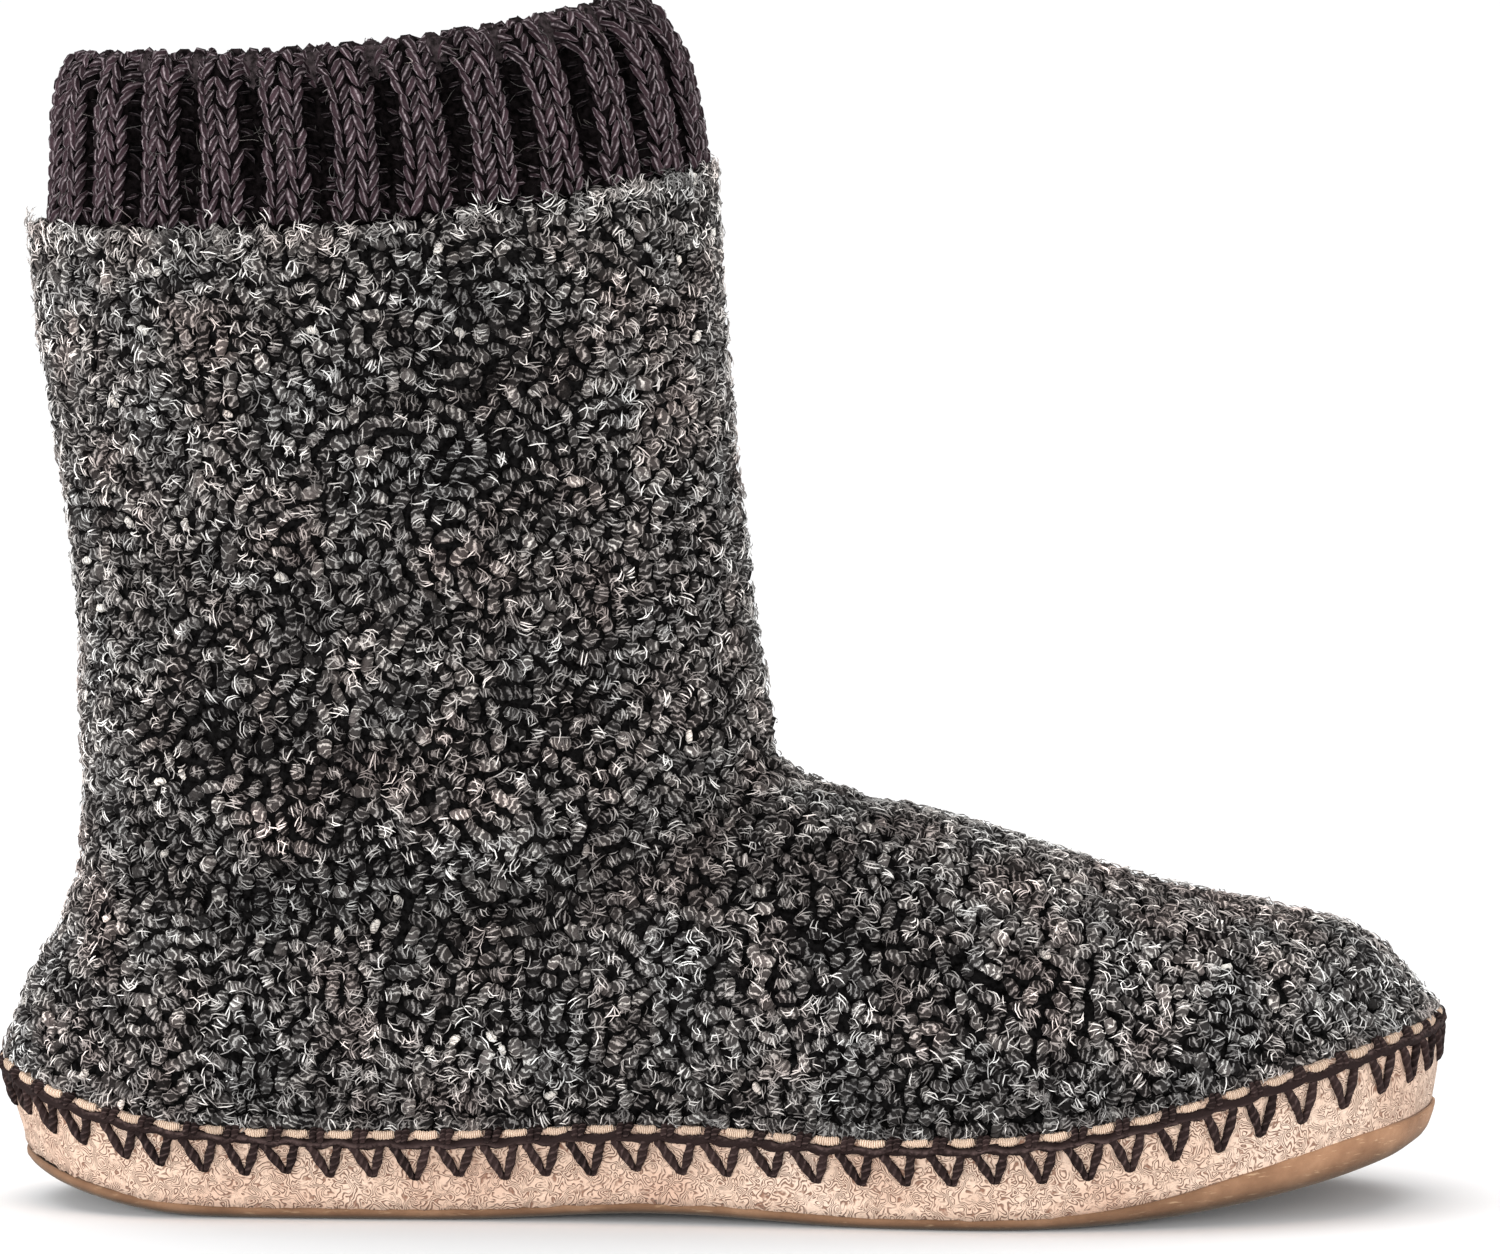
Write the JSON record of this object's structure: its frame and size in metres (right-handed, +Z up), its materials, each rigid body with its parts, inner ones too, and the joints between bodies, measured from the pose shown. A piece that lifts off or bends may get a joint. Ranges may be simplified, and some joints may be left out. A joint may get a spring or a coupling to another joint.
{
  "type": "house slipper boot",
  "caption": "Knitted house slipper boot with a ribbed cuff, a whipstitched suede rand and a thin soft sole, right foot.",
  "frame": {"origin": "on the floor under the middle of the slipper's bounding box", "axes": "+X towards the toe, +Y towards the inner side of the foot, +Z up out of the collar"},
  "size_m": [0.271, 0.1046, 0.2255],
  "materials": {
    "outsole": "matt brown suede",
    "rand": "pale brushed suede",
    "insole": "dark fleece",
    "upper": "nubby charcoal knit",
    "cuff": "dark rib knit"
  },
  "bodies": {
    "root": {"outsole": "outsole", "rand": "rand", "insole": "insole", "upper": "upper", "cuff": "cuff"}
  },
  "joints": []
}
